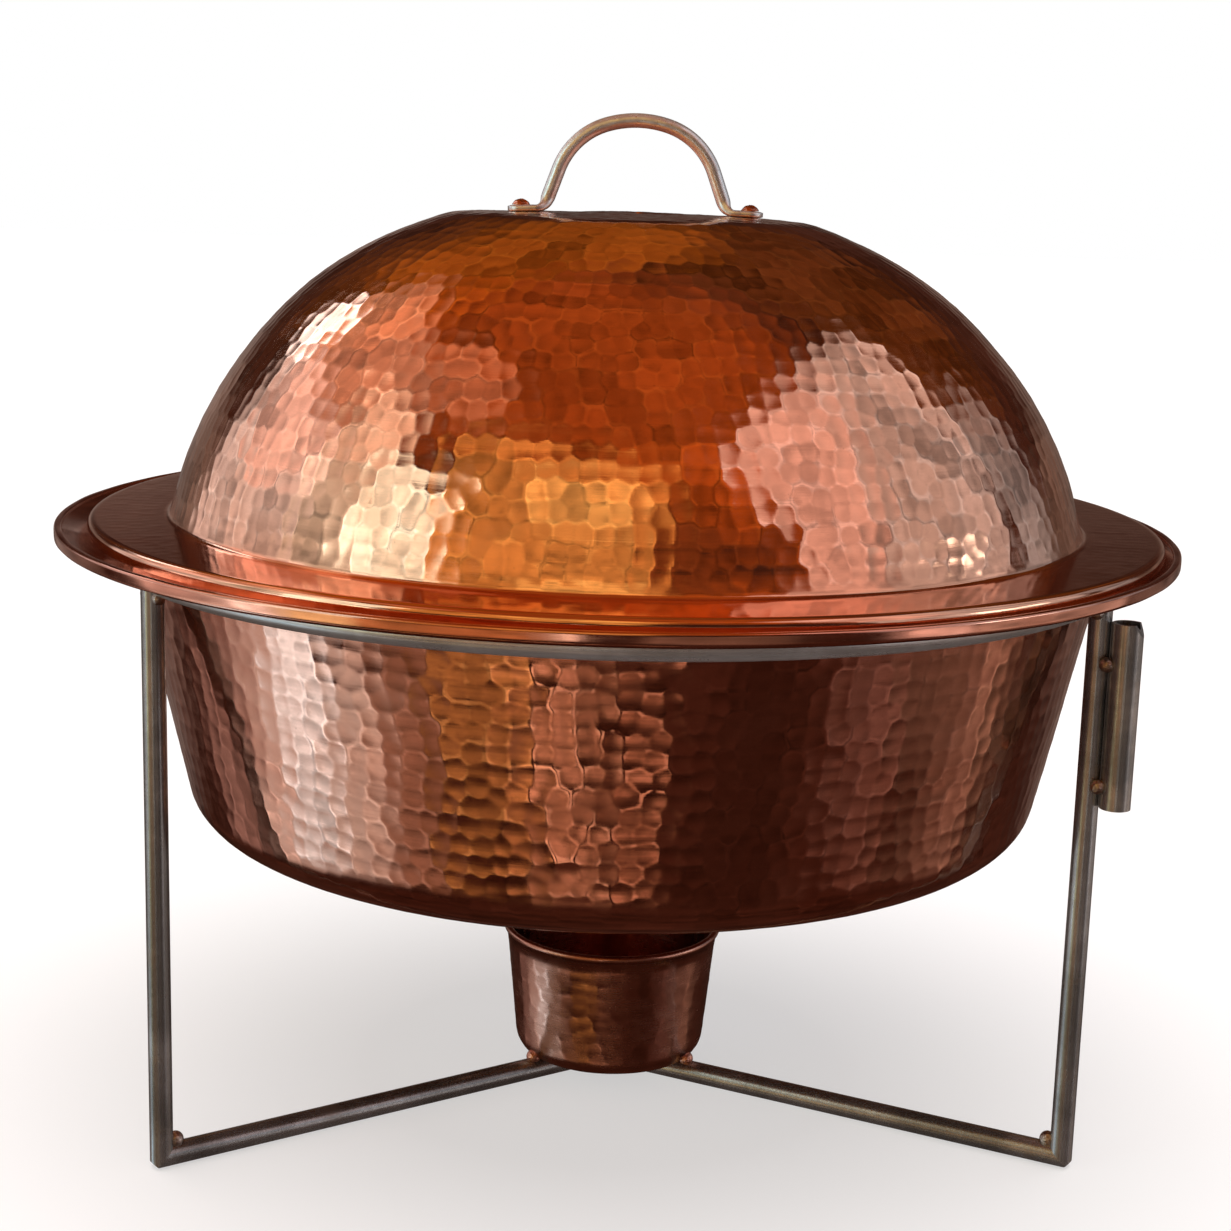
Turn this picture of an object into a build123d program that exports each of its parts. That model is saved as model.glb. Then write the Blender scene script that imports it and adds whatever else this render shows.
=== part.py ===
from build123d import *

import math
import os

# A round copper chafing dish on a welded steel stand. Millimetres, +Z up, with the origin on the
# floor under the middle of the pan. The front of the dish faces -Y.

# --- driving dimensions ---------------------------------------------------------------------------
BAR_R = 5.0  # round steel bar of the ring, legs and base
STAND_R = 229.0  # from the stand's axis to the middle of each leg
RING_Z = 259.4  # middle of the ring's bar
LEG_TOP_BELOW_RING = 1.5  # the legs stop this far below the middle of the ring's bar
LEG_ANGLES = {"left": 213.7, "right": 333.7, "back": 93.7}  # about +Z, from +X
FOOT_GROUND_OFF = 2.4  # ground off the outer corner of each foot
FOOT_WELD_R = 3.6
RING_WELD_R = 2.8
HUB_WELD_R = 2.8
WELD_STAND_OFF = 1.4  # from a corner between two bars to the middle of its weld bead

SLEEVE_R = 6.7  # accessory sleeve
SLEEVE_BORE_R = 5.1
SLEEVE_BOTTOM_Z = 168.0
SLEEVE_LENGTH = 81.0
SLEEVE_GAP = 0.3  # between the leg and the sleeve
SLEEVE_BEVEL_WIDTH = 2.6  # bevel on the outer side of the sleeve's top end
SLEEVE_BEVEL_HEIGHT = 5.5
SLEEVE_WELD_HEIGHTS = (177.5, 231.0)
SLEEVE_WELD_R = 3.3
SLEEVE_WELD_OFFSET = 4.6  # in the groove on the sleeve's front side, from the line through both bars

PAN_SHEET = 1.6
BRIM_R = 255.7  # outside of the pan's rolled rim
RIM_WIDTH = 3.6  # the rim is rolled, then flattened to an upright band
RIM_HEIGHT = 5.4
RIM_CORNER = 1.5
RIM_LIFT = 0.5  # bottom of the rim over the brim's underside
BRIM_UNDER_Z = 264.7  # underside of the brim
PAN_MOUTH_R = 223.2
PAN_FLOOR_R = 193.4
PAN_UNDER_Z = 131.5
PAN_FLOOR_BEND = 22.0
PAN_MOUTH_BEND = 4.0

FOOD_SHEET = 1.0
FOOD_BRIM_R = 237.0
FOOD_MOUTH_R = 218.0
FOOD_FLOOR_R = 197.0
FOOD_DEPTH = 66.0
FOOD_FLOOR_BEND = 16.0
FOOD_MOUTH_BEND = 3.0

LID_SHEET = 1.2
LID_X = 3.8  # the lid has slid a little to the right within the pan's rim
LID_R = 244.9
LID_TOP_Z = 273.8  # top of the lid's flat brim
LID_LIP_DROP = 7.2  # leaves the lip just clear of the pan's brim
LID_LIP_BEND = 2.2
DOME_RISE = 137.4  # middle of the sheet, crown over brim
DOME_FOOT_R = 208.6
DOME_FOOT_SLOPE = 22.0  # degrees from upright where the dome meets its foot bend
DOME_FOOT_BEND = 1.6
CROWN_R = 75.0  # the crown is nearly flat out to here
CROWN_DROP = 1.8
# The dome between its crown and its foot, as radius and height over the brim.
DOME_SIDE = [(101.0, 128.0), (141.0, 105.8), (178.9, 66.2), (200.3, 26.4)]

HANDLE_ROD_R = 3.25
HANDLE_RISE = 41.2  # from the pads' undersides to the middle of the rod at the top
HANDLE_TOP_BEND = 47.0
HANDLE_SHOULDER_BEND = 33.0
HANDLE_SHOULDER_X = 4.2  # centre of a shoulder bend, from the handle's middle
HANDLE_LEAN = 20.0  # degrees that the sides lean outward on their way down
HANDLE_FOOT_BEND = 5.0
HANDLE_FOOT_LIFT = 2.3  # middle of the rod over the pad's underside, where the rod lies down
HANDLE_ROD_END = 46.5  # the rod has become the flat pad by here
PAD_START = 43.0
PAD_WIDTH = 12.0
PAD_THICK = 3.0
RIVET_REACH = 52.0  # from the handle's middle to each rivet
RIVET_R = 2.0
RIVET_HEAD_R = 4.2
RIVET_HEAD_RISE = 2.6
RIVET_TAIL_R = 3.2
RIVET_TAIL_RISE = 1.4
BURR_R = 5.0
BURR_THICK = 1.0

CUP_X = 2.5  # the cup stands a little to the right of the stand's middle
CUP_SHEET = 1.2
CUP_BASE_Z = 11.0
CUP_BASE_R = 42.4
CUP_SHOULDER_R = 45.4
CUP_SHOULDER_Z = 16.5
CUP_NECK_R = 49.8
CUP_NECK_Z = 63.0
CUP_LIP_R = 52.3
CUP_LIP_BEAD_R = 1.7
CUP_TOP_Z = 73.3
CUP_BENDS = [2.0, 8.0, 30.0]  # base corner, shoulder and neck
CUP_BRAZE_R = 3.4

TOUCH_GAP = 0.05  # between faces that only touch, within one body
REST_GAP = 0.1  # between flat faces of two bodies, one resting on the other
HOLE_CLEARANCE = 0.05
CUTTER = 40.0  # side of the blocks that cut bars

FOOD_BRIM_Z = BRIM_UNDER_Z + PAN_SHEET + REST_GAP + FOOD_SHEET / 2  # middle of the food pan's brim
SLEEVE_REACH = STAND_R + BAR_R + SLEEVE_GAP + SLEEVE_R
CROWN_BALL_R = (CROWN_R**2 + CROWN_DROP**2) / (2 * CROWN_DROP)


# --- helpers --------------------------------------------------------------------------------------
def sheet_of_revolution(*centre_line, thickness):
    """Revolves an XZ line into a sheet of even thickness, centred on that line."""
    return revolve(Plane.XZ * trace(centre_line, line_width=thickness), Axis.Z)


def upright_bar(radius, low_z, high_z):
    return Pos(0, 0, low_z) * Cylinder(radius, high_z - low_z, align=(Align.CENTER, Align.CENTER, Align.MIN))


def domed_button(radius, rise):
    """A shallow domed head on the XY plane: part of a ball."""
    ball_r = (radius**2 + rise**2) / (2 * rise)
    ball = Pos(0, 0, rise - ball_r) * Sphere(ball_r)
    return ball & upright_bar(2 * radius, 0, rise)


def save(name, *shapes):
    """Writes one node: one solid, or a group of separate solids."""
    solids = [solid for shape in shapes for solid in shape.solids()]
    node = solids[0] if len(solids) == 1 else Compound(children=solids)
    node.label = name
    export_step(node, f"parts/{name}.step")


# --- stand: every piece is made on +X and turned to its leg's angle -------------------------------
def stand_ring():
    return Pos(0, 0, RING_Z) * Torus(STAND_R, BAR_R)


def below_mitre():
    """All that lies on the base bar's side of the 45 degree joint at the foot."""
    block = Box(2 * STAND_R, 4 * BAR_R, 2 * STAND_R)
    return Pos(STAND_R, 0, BAR_R) * Rot(0, 45, 0) * Pos(0, 0, -STAND_R) * block


def foot_corner():
    """What is ground off the outer corner of a foot."""
    reach = BAR_R * math.sqrt(2) - FOOT_GROUND_OFF + CUTTER / 2
    return Pos(STAND_R, 0, BAR_R) * Rot(0, 45, 0) * Pos(reach, 0, 0) * Box(CUTTER, CUTTER, CUTTER)


def leg():
    """Mitred at the foot, and shaped at the top to fit under the ring."""
    bar = Pos(STAND_R, 0, 0) * upright_bar(BAR_R, 0, RING_Z - LEG_TOP_BELOW_RING)
    return bar - below_mitre() - foot_corner() - stand_ring()


def base_bar():
    """From the middle of the stand, where three bars meet, out to the foot."""
    bar = Rot(0, 90, 0) * upright_bar(BAR_R, 0, STAND_R + BAR_R)
    bar = Pos(0, 0, BAR_R) * bar
    side = CUTTER * math.sqrt(3)
    far = 2 * STAND_R
    third = Polyline((0, 0), (CUTTER, -side), (far, -side), (far, side), (CUTTER, side), close=True)
    meeting = extrude(make_face(third), amount=2 * BAR_R)
    return (bar & below_mitre() & meeting) - foot_corner()


def foot_weld(a_leg, a_bar):
    corner = BAR_R + WELD_STAND_OFF
    bead = Pos(STAND_R - corner, 0, BAR_R + corner) * Sphere(FOOT_WELD_R)
    return bead - a_leg - a_bar


def ring_welds(a_leg):
    """Two beads, one on each side of a leg, in the corner under the ring."""
    corner = BAR_R + WELD_STAND_OFF
    beads = [Pos(STAND_R, side * corner, RING_Z - corner) * Sphere(RING_WELD_R) for side in (-1, 1)]
    return [bead - a_leg - stand_ring() for bead in beads]


def hub_weld(bars):
    """In the corner between two base bars at the middle of the stand."""
    reach = BAR_R / math.sin(math.radians(60)) + WELD_STAND_OFF
    bead = Rot(0, 0, 60) * Pos(reach, 0, BAR_R) * Sphere(HUB_WELD_R)
    for bar in bars:
        bead -= bar
    return bead


def accessory_sleeve():
    """A short open tube, upright on the outside of the right leg, with a bevel on its outer side."""
    tube = upright_bar(SLEEVE_R, 0, SLEEVE_LENGTH) - upright_bar(SLEEVE_BORE_R, 0, SLEEVE_LENGTH)
    bevel = Polyline(
        (SLEEVE_R, SLEEVE_LENGTH - SLEEVE_BEVEL_HEIGHT),
        (SLEEVE_R + CUTTER, SLEEVE_LENGTH - SLEEVE_BEVEL_HEIGHT),
        (SLEEVE_R + CUTTER, SLEEVE_LENGTH + CUTTER),
        (SLEEVE_R - SLEEVE_BEVEL_WIDTH, SLEEVE_LENGTH + CUTTER),
        (SLEEVE_R - SLEEVE_BEVEL_WIDTH, SLEEVE_LENGTH),
        close=True,
    )
    tube -= extrude(Plane.XZ * make_face(bevel), amount=SLEEVE_R, both=True)
    return Pos(SLEEVE_REACH, 0, SLEEVE_BOTTOM_Z) * tube


def sleeve_welds(a_leg):
    """Two beads in the front groove between the leg and the sleeve."""
    outside = Pos(SLEEVE_REACH, 0, 0) * upright_bar(SLEEVE_R, 0, RING_Z)
    middle = STAND_R + BAR_R + SLEEVE_GAP / 2
    beads = [Pos(middle, -SLEEVE_WELD_OFFSET, z) * Sphere(SLEEVE_WELD_R) for z in SLEEVE_WELD_HEIGHTS]
    return [(bead - a_leg - outside).solids().sort_by(SortBy.VOLUME)[-1] for bead in beads]


def burner_cup():
    """A tapered cup with a bevelled base and a flared, rolled lip."""
    half = CUP_SHEET / 2
    bead_r = CUP_LIP_R - CUP_LIP_BEAD_R
    bead_z = CUP_TOP_Z - CUP_LIP_BEAD_R
    side = FilletPolyline(
        (0, CUP_BASE_Z + half),
        (CUP_BASE_R - half, CUP_BASE_Z + half),
        (CUP_SHOULDER_R - half, CUP_SHOULDER_Z),
        (CUP_NECK_R - half, CUP_NECK_Z),
        (bead_r, bead_z),
        radius=CUP_BENDS,
    )
    cup = sheet_of_revolution(side, thickness=CUP_SHEET) + Pos(0, 0, bead_z) * Torus(bead_r, CUP_LIP_BEAD_R)
    return Pos(CUP_X, 0, 0) * cup


def cup_brazes(cup, bars):
    """A copper-coloured spot where the edge of the cup's base crosses each base bar."""
    spots = []
    for angle, bar in zip(LEG_ANGLES.values(), bars):
        across = CUP_X * math.sin(math.radians(angle))
        along = CUP_X * math.cos(math.radians(angle))
        reach = along + math.sqrt(CUP_BASE_R**2 - across**2)
        spot = Rot(0, 0, angle) * Pos(reach, 0, CUP_BASE_Z) * Sphere(CUP_BRAZE_R)
        inside = Pos(CUP_X, 0, CUP_BASE_Z) * upright_bar(CUP_BASE_R - CUP_SHEET, 0, CUTTER)
        outside = (spot - cup - inside - bar).solids().sort_by(SortBy.VOLUME)[-1]
        spots.append(outside)
    return spots


# --- pans -----------------------------------------------------------------------------------------
def water_pan():
    """The outer pan: sloping wall, wide flat brim and a rolled rim that stands above the brim."""
    half = PAN_SHEET / 2
    rim_r = BRIM_R - RIM_WIDTH / 2
    side = FilletPolyline(
        (0, PAN_UNDER_Z + half),
        (PAN_FLOOR_R, PAN_UNDER_Z + half),
        (PAN_MOUTH_R, BRIM_UNDER_Z + half),
        (rim_r, BRIM_UNDER_Z + half),
        radius=[PAN_FLOOR_BEND, PAN_MOUTH_BEND],
    )
    band = RectangleRounded(RIM_WIDTH, RIM_HEIGHT, RIM_CORNER)
    rim = revolve(Plane.XZ * Pos(rim_r, BRIM_UNDER_Z + RIM_LIFT + RIM_HEIGHT / 2) * band, Axis.Z)
    return sheet_of_revolution(side, thickness=PAN_SHEET) + rim


def food_pan():
    """The inner pan, which hangs by its brim on the water pan's brim."""
    side = FilletPolyline(
        (0, FOOD_BRIM_Z - FOOD_DEPTH),
        (FOOD_FLOOR_R, FOOD_BRIM_Z - FOOD_DEPTH),
        (FOOD_MOUTH_R, FOOD_BRIM_Z),
        (FOOD_BRIM_R, FOOD_BRIM_Z),
        radius=[FOOD_FLOOR_BEND, FOOD_MOUTH_BEND],
    )
    return sheet_of_revolution(side, thickness=FOOD_SHEET)


# --- lid: made about the Z axis with its brim's middle at Z = 0, then placed on the pan -----------
def on_pan(shape):
    return Pos(LID_X, 0, LID_TOP_Z - LID_SHEET / 2) * shape


def crown_height(radius):
    """Middle of the dome's sheet over the brim, within the crown, which is part of a large ball."""
    return DOME_RISE - CROWN_BALL_R + math.sqrt(CROWN_BALL_R**2 - radius**2)


def dome_line():
    """The lid's outline from the crown to the edge of its lip."""
    slope = math.radians(DOME_FOOT_SLOPE)
    foot_height = DOME_FOOT_BEND * (1 - math.sin(slope))
    bend_r = DOME_FOOT_R + DOME_FOOT_BEND * math.cos(slope)
    lip_r = LID_R - LID_SHEET / 2
    crown_turn = math.degrees(math.asin(CROWN_R / CROWN_BALL_R))
    crown = CenterArc((0, DOME_RISE - CROWN_BALL_R), CROWN_BALL_R, 90, -crown_turn)
    side = Spline(
        crown @ 1,
        *DOME_SIDE,
        (DOME_FOOT_R, foot_height),
        tangents=(crown % 1, (math.sin(slope), -math.cos(slope))),
    )
    foot = CenterArc((bend_r, DOME_FOOT_BEND), DOME_FOOT_BEND, 180 + DOME_FOOT_SLOPE, 90 - DOME_FOOT_SLOPE)
    brim = FilletPolyline((bend_r, 0), (lip_r, 0), (lip_r, LID_SHEET / 2 - LID_LIP_DROP), radius=LID_LIP_BEND)
    return crown, side, foot, brim


def lid_shell():
    shell = sheet_of_revolution(*dome_line(), thickness=LID_SHEET)
    for side in (-1, 1):
        shell -= Pos(side * RIVET_REACH, 0, 0) * upright_bar(RIVET_R + HOLE_CLEARANCE, 0, 2 * DOME_RISE)
    return on_pan(shell)


def pad_under():
    """Underside of the handle's pads: just clear of the dome's top at the pads' inner ends."""
    return crown_height(PAD_START - HANDLE_FOOT_BEND) + LID_SHEET / 2 + TOUCH_GAP


def handle_half_path():
    """Middle of the rod, from the foot on the right up to the top of the arch."""
    lean = math.radians(HANDLE_LEAN)
    top_z = pad_under() + HANDLE_RISE - HANDLE_TOP_BEND
    shoulder_z = top_z + math.sqrt((HANDLE_TOP_BEND - HANDLE_SHOULDER_BEND) ** 2 - HANDLE_SHOULDER_X**2)
    turn = math.degrees(math.atan2(shoulder_z - top_z, HANDLE_SHOULDER_X))
    side_x = HANDLE_SHOULDER_X + HANDLE_SHOULDER_BEND * math.cos(lean)
    side_z = shoulder_z + HANDLE_SHOULDER_BEND * math.sin(lean)
    foot_z = pad_under() + HANDLE_FOOT_LIFT
    bend_z = foot_z + HANDLE_FOOT_BEND
    low_z = bend_z - HANDLE_FOOT_BEND * math.sin(lean)
    low_x = side_x + (side_z - low_z) * math.tan(lean)
    bend_x = low_x + HANDLE_FOOT_BEND * math.cos(lean)
    return Wire([
        Line((HANDLE_ROD_END, foot_z), (bend_x, foot_z)),
        CenterArc((bend_x, bend_z), HANDLE_FOOT_BEND, 270, HANDLE_LEAN - 90),
        Line((low_x, low_z), (side_x, side_z)),
        CenterArc((HANDLE_SHOULDER_X, shoulder_z), HANDLE_SHOULDER_BEND, HANDLE_LEAN, turn - HANDLE_LEAN),
        CenterArc((0, top_z), HANDLE_TOP_BEND, turn, 90 - turn),
    ])


def handle_pad(side):
    """The flattened end of the rod, with a round end about its rivet."""
    strip = Pos((PAD_START + RIVET_REACH) / 2, 0) * Rectangle(RIVET_REACH - PAD_START, PAD_WIDTH)
    at_rivet = Pos(RIVET_REACH, 0)
    plan = strip + at_rivet * Circle(PAD_WIDTH / 2) - at_rivet * Circle(RIVET_R + HOLE_CLEARANCE)
    pad = Pos(0, 0, pad_under()) * extrude(plan, amount=PAD_THICK)
    return pad if side > 0 else pad.mirror(Plane.YZ)


def lid_handle():
    path = Plane.XZ * handle_half_path()
    half_rod = sweep(Plane(path @ 0, z_dir=path % 0) * Circle(HANDLE_ROD_R), path)
    rod = half_rod + half_rod.mirror(Plane.YZ)
    for side in (-1, 1):
        rod -= Pos(side * RIVET_REACH, 0, 0) * upright_bar(RIVET_R + HOLE_CLEARANCE, 0, 2 * DOME_RISE)
        rod += handle_pad(side)
    below_pads = Pos(0, 0, pad_under() - CUTTER / 2) * Box(4 * RIVET_REACH, CUTTER, CUTTER)
    return on_pan(rod - below_pads)


def burr_under():
    return crown_height(RIVET_REACH + BURR_R) - LID_SHEET / 2 - TOUCH_GAP - BURR_THICK


def handle_rivet():
    """Domed head on the pad, shank through the pad, the dome and the burr, and a peened tail."""
    tail_z = burr_under() - TOUCH_GAP
    head_z = pad_under() + PAD_THICK + TOUCH_GAP
    head = Pos(0, 0, head_z) * domed_button(RIVET_HEAD_R, RIVET_HEAD_RISE)
    tail = Pos(0, 0, tail_z) * Rot(180, 0, 0) * domed_button(RIVET_TAIL_R, RIVET_TAIL_RISE)
    return head + upright_bar(RIVET_R, tail_z - RIVET_TAIL_RISE / 2, head_z + RIVET_HEAD_RISE / 2) + tail


def rivet_burr():
    """The washer inside the dome that the rivet is peened over."""
    disc = upright_bar(BURR_R, 0, BURR_THICK) - upright_bar(RIVET_R + HOLE_CLEARANCE, 0, BURR_THICK)
    return Pos(0, 0, burr_under()) * disc


# --- nodes ----------------------------------------------------------------------------------------
def save_stand():
    legs = [Rot(0, 0, angle) * leg() for angle in LEG_ANGLES.values()]
    bars = [Rot(0, 0, angle) * base_bar() for angle in LEG_ANGLES.values()]
    cup = burner_cup()
    right = Rot(0, 0, LEG_ANGLES["right"])
    save("stand_ring", stand_ring())
    for name, a_leg, a_bar in zip(LEG_ANGLES, legs, bars):
        save(f"leg_{name}", a_leg)
        save(f"base_bar_{name}", a_bar)
    turns = [Rot(0, 0, angle) for angle in LEG_ANGLES.values()]
    save("foot_welds", *[turn * foot_weld(leg(), base_bar()) for turn in turns])
    save("ring_welds", *[turn * bead for turn in turns for bead in ring_welds(leg())])
    around = [Rot(0, 0, angle) * base_bar() for angle in (0, 120)]
    save("hub_welds", *[turn * hub_weld(around) for turn in turns])
    save("accessory_sleeve", right * accessory_sleeve())
    save("sleeve_welds", *[right * bead for bead in sleeve_welds(leg())])
    save("burner_cup", cup)
    save("cup_brazes", *cup_brazes(cup, bars))


def save_pans():
    save("water_pan", water_pan())
    save("food_pan", food_pan())


def save_lid():
    save("lid_shell", lid_shell())
    save("lid_handle", lid_handle())
    places = [Pos(side * RIVET_REACH, 0, 0) for side in (-1, 1)]
    save("handle_rivets", *[on_pan(place * handle_rivet()) for place in places])
    save("rivet_burrs", *[on_pan(place * rivet_burr()) for place in places])


os.makedirs("parts", exist_ok=True)
save_stand()
save_pans()
save_lid()
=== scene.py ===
import math

import bpy
import numpy as np
from mathutils import Matrix, Vector


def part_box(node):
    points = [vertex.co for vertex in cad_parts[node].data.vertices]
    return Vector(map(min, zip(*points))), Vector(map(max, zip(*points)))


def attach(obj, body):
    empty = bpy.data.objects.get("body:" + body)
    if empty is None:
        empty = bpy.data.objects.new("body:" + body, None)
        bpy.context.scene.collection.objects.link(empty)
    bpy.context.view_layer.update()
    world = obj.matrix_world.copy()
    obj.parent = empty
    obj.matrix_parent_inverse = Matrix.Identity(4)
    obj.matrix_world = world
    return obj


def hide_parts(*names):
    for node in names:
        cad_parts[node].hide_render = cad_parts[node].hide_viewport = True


# The looks of a round hammered-copper chafing dish on a welded steel stand, built around the packed
# frame. The dish faces -Y. Shapes are worked out in millimetres and scaled to metres when a mesh is
# made; materials, lights and the camera are in metres.

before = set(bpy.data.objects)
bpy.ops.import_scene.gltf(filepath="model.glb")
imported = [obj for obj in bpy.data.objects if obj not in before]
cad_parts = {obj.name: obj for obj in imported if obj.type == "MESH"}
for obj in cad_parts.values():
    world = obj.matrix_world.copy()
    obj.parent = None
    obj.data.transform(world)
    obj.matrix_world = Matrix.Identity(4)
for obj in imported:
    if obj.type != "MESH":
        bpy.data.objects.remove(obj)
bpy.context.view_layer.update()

MM = 0.001
rng = np.random.default_rng(7)


# --- places and sizes read from the frame, in millimetres ------------------------------------------
def node_box(node):
    low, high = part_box(node)
    return np.array(low) / MM, np.array(high) / MM


LID_LOW, LID_HIGH = node_box("lid_shell")
PAN_LOW, PAN_HIGH = node_box("water_pan")
CUP_LOW, CUP_HIGH = node_box("burner_cup")
HANDLE_LOW, HANDLE_HIGH = node_box("lid_handle")

LID_X = (LID_LOW[0] + LID_HIGH[0]) / 2
CUP_X = (CUP_LOW[0] + CUP_HIGH[0]) / 2
LID_R = (LID_HIGH[0] - LID_LOW[0]) / 2
PAN_R = (PAN_HIGH[0] - PAN_LOW[0]) / 2
CUP_R = (CUP_HIGH[0] - CUP_LOW[0]) / 2

# --- shapes of the sheets, as the frame has them ---------------------------------------------------
LID_SHEET = 1.2
LID_LIP_DROP = 7.2
LID_LIP_BEND = 2.2
LID_BRIM_Z = LID_LOW[2] + LID_LIP_DROP - LID_SHEET / 2  # middle of the brim's sheet
DOME_RISE = LID_HIGH[2] - LID_SHEET / 2 - LID_BRIM_Z
CROWN_R = 75.0
CROWN_DROP = 1.8
CROWN_BALL_R = (CROWN_R**2 + CROWN_DROP**2) / (2 * CROWN_DROP)
DOME_SIDE = [(101.0, 128.0), (141.0, 105.8), (178.9, 66.2), (200.3, 26.4)]  # radius, height over brim
DOME_FOOT_R = 208.6
DOME_FOOT_SLOPE = 22.0
DOME_FOOT_BEND = 1.6
DOME_LEAN = 0.013  # the raised dome stands this much higher on its left than on its right

PAN_SHEET = 1.6
RIM_WIDTH = 3.6  # a rolled rim, flattened to an upright band
RIM_HEIGHT = 5.4
PAN_FLOOR_R = 193.4
PAN_MOUTH_R = 223.2
PAN_BENDS = (22.0, 4.0)
PAN_FLOOR_Z = PAN_LOW[2] + PAN_SHEET / 2
PAN_RIM_R = PAN_R - RIM_WIDTH / 2
PAN_BRIM_Z = PAN_HIGH[2] - 5.1  # middle of the brim's sheet; the rim stands above it

CUP_SHEET = 1.2
CUP_BEAD_R = 1.7
CUP_BENDS = (2.0, 8.0, 30.0)
CUP_FLOOR_Z = CUP_LOW[2] + CUP_SHEET / 2
CUP_BEAD_Z = CUP_HIGH[2] - CUP_BEAD_R

HANDLE_ROD_R = 3.25
HANDLE_TOP_BEND = 47.0
HANDLE_SHOULDER_BEND = 33.0
HANDLE_SHOULDER_X = 4.2
HANDLE_LEAN = 20.0
HANDLE_FOOT_BEND = 5.0
PAD_HALF_WIDTH = 6.0
PAD_THICK = 3.0
RIVET_REACH = 52.0
RIVET_R = 2.0
RIVET_HEAD_R = 4.2
RIVET_HEAD_RISE = 2.6
RIVET_TAIL_R = 3.2
RIVET_TAIL_RISE = 1.4
RIVET_GRIP = 2.4  # dome sheet, burr and gaps between the pad and the rivet's tail

FINE = 1.25  # spacing of the mesh on hammered outer skins
COARSE = 2.7  # and on inner skins


# --- outlines: rows of (radius, height) ------------------------------------------------------------
def arc(centre, radius, start, end, step=0.8):
    """Points along an arc; angles in degrees."""
    count = max(4, int(abs(math.radians(end - start)) * radius / step) + 1)
    turn = np.radians(np.linspace(start, end, count))
    return np.column_stack([centre[0] + radius * np.cos(turn), centre[1] + radius * np.sin(turn)])


def rounded(points, bends):
    """The line through points with each inner corner rounded to its bend radius."""
    points = [np.array(p, float) for p in points]
    line = [points[0][None]]
    for before, corner, after, bend in zip(points, points[1:], points[2:], bends):
        back = (before - corner) / np.linalg.norm(before - corner)
        ahead = (after - corner) / np.linalg.norm(after - corner)
        half = math.acos(float(back @ ahead)) / 2
        middle = (back + ahead) / np.linalg.norm(back + ahead)
        centre = corner + middle * bend / math.sin(half)
        reach = bend / math.tan(half)
        first = corner + back * reach - centre
        last = corner + ahead * reach - centre
        start = math.degrees(math.atan2(first[1], first[0]))
        sweep = (math.degrees(math.atan2(last[1], last[0])) - start + 180) % 360 - 180
        line.append(arc(centre, bend, start, start + sweep))
    line.append(points[-1][None])
    return np.concatenate(line)


def lengths(line):
    """Distance along a line at each of its points."""
    return np.concatenate([[0], np.cumsum(np.linalg.norm(np.diff(line, axis=0), axis=1))])


def resample(line, step):
    """The same line with evenly spaced points."""
    along = lengths(line)
    places = np.linspace(0, along[-1], max(2, int(round(along[-1] / step)) + 1))
    return np.column_stack([np.interp(places, along, line[:, k]) for k in range(line.shape[1])])


def right_of(line):
    """Unit normals on the right-hand side of a line."""
    ahead = np.gradient(line, axis=0)
    ahead /= np.linalg.norm(ahead, axis=1)[:, None]
    return np.column_stack([ahead[:, 1], -ahead[:, 0]])


def smooth_through(points, start_slope, end_slope, count=24):
    """A smooth curve through points, leaving and arriving along the given unit directions."""
    points = np.array(points, float)
    spans = np.linalg.norm(np.diff(points, axis=0), axis=1)
    slopes = np.zeros_like(points)
    steps = np.diff(points, axis=0) / spans[:, None]
    both = (spans[1:] + spans[:-1])[:, None]
    slopes[1:-1] = (steps[:-1] * spans[1:, None] + steps[1:] * spans[:-1, None]) / both
    slopes[0], slopes[-1] = start_slope, end_slope
    t = np.linspace(0, 1, count, endpoint=False)[:, None]
    pieces = []
    for a, b, slope_a, slope_b, span in zip(points, points[1:], slopes, slopes[1:], spans):
        pieces.append(
            a * (2 * t**3 - 3 * t**2 + 1)
            + slope_a * span * (t**3 - 2 * t**2 + t)
            + b * (3 * t**2 - 2 * t**3)
            + slope_b * span * (t**3 - t**2)
        )
    return np.concatenate(pieces + [points[-1][None]])


def crown_drop(radius):
    """How far the crown has fallen at a radius: it is part of a large ball."""
    return CROWN_BALL_R - np.sqrt(CROWN_BALL_R**2 - np.square(radius))


def lid_line():
    """Middle of the lid's sheet, from the crown to the edge of the lip."""
    slope = math.radians(DOME_FOOT_SLOPE)
    bend_r = DOME_FOOT_R + DOME_FOOT_BEND * math.cos(slope)
    foot_height = DOME_FOOT_BEND * (1 - math.sin(slope))
    crown_x = np.linspace(0, CROWN_R, 60)
    crown = np.column_stack([crown_x, DOME_RISE - crown_drop(crown_x)])
    crown_turn = math.asin(CROWN_R / CROWN_BALL_R)
    side = smooth_through(
        [crown[-1], *DOME_SIDE, (DOME_FOOT_R, foot_height)],
        (math.cos(crown_turn), -math.sin(crown_turn)),
        (math.sin(slope), -math.cos(slope)),
    )
    foot = arc((bend_r, DOME_FOOT_BEND), DOME_FOOT_BEND, 180 + DOME_FOOT_SLOPE, 270)
    lip_r = LID_R - LID_SHEET / 2
    brim = rounded([(bend_r, 0), (lip_r, 0), (lip_r, LID_SHEET / 2 - LID_LIP_DROP)], [LID_LIP_BEND])
    line = np.concatenate([crown[:-1], side, foot[1:], brim[1:]])
    return line + (0, LID_BRIM_Z)


def pan_line():
    floor = [(0, PAN_FLOOR_Z), (PAN_FLOOR_R, PAN_FLOOR_Z)]
    brim = [(PAN_MOUTH_R, PAN_BRIM_Z), (PAN_RIM_R, PAN_BRIM_Z)]
    return rounded(floor + brim, PAN_BENDS)


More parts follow.
